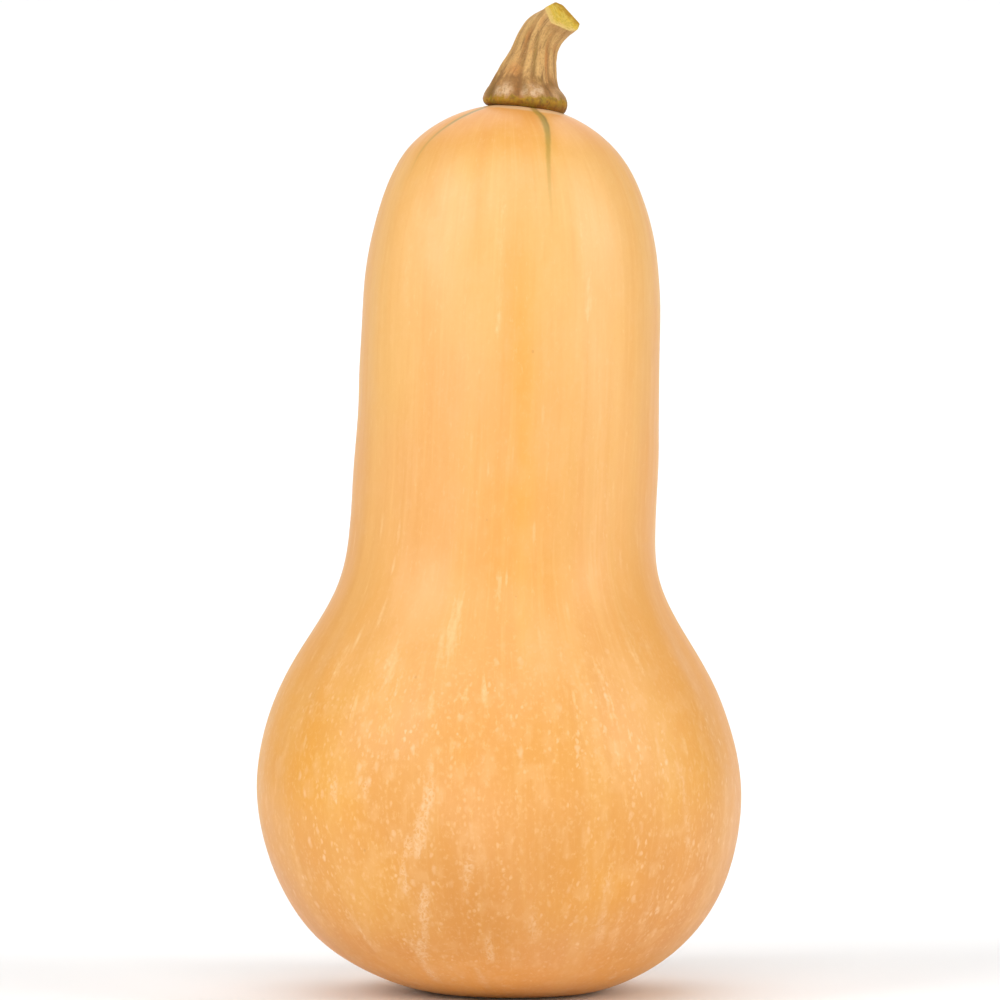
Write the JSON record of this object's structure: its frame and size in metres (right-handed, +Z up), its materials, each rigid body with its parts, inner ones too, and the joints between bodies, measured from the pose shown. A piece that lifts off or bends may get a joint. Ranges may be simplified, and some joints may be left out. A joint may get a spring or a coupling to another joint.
{
  "type": "butternut squash",
  "caption": "Whole butternut squash standing on its blossom end: long neck with a domed crown, round seed bulb and a dry ribbed stalk that leans over to a cut end.",
  "frame": {"origin": "on the ground, under the middle of the whole part's box", "axes": "+Z up, along the squash from blossom end to stalk; the picture looks along +Y, so +X is its right-hand side"},
  "size_m": [0.1212, 0.117, 0.248],
  "materials": {
    "skin": "satin",
    "stalk": "matte"
  },
  "bodies": {
    "root": {"fruit": "skin", "stem": "stalk"}
  },
  "joints": []
}
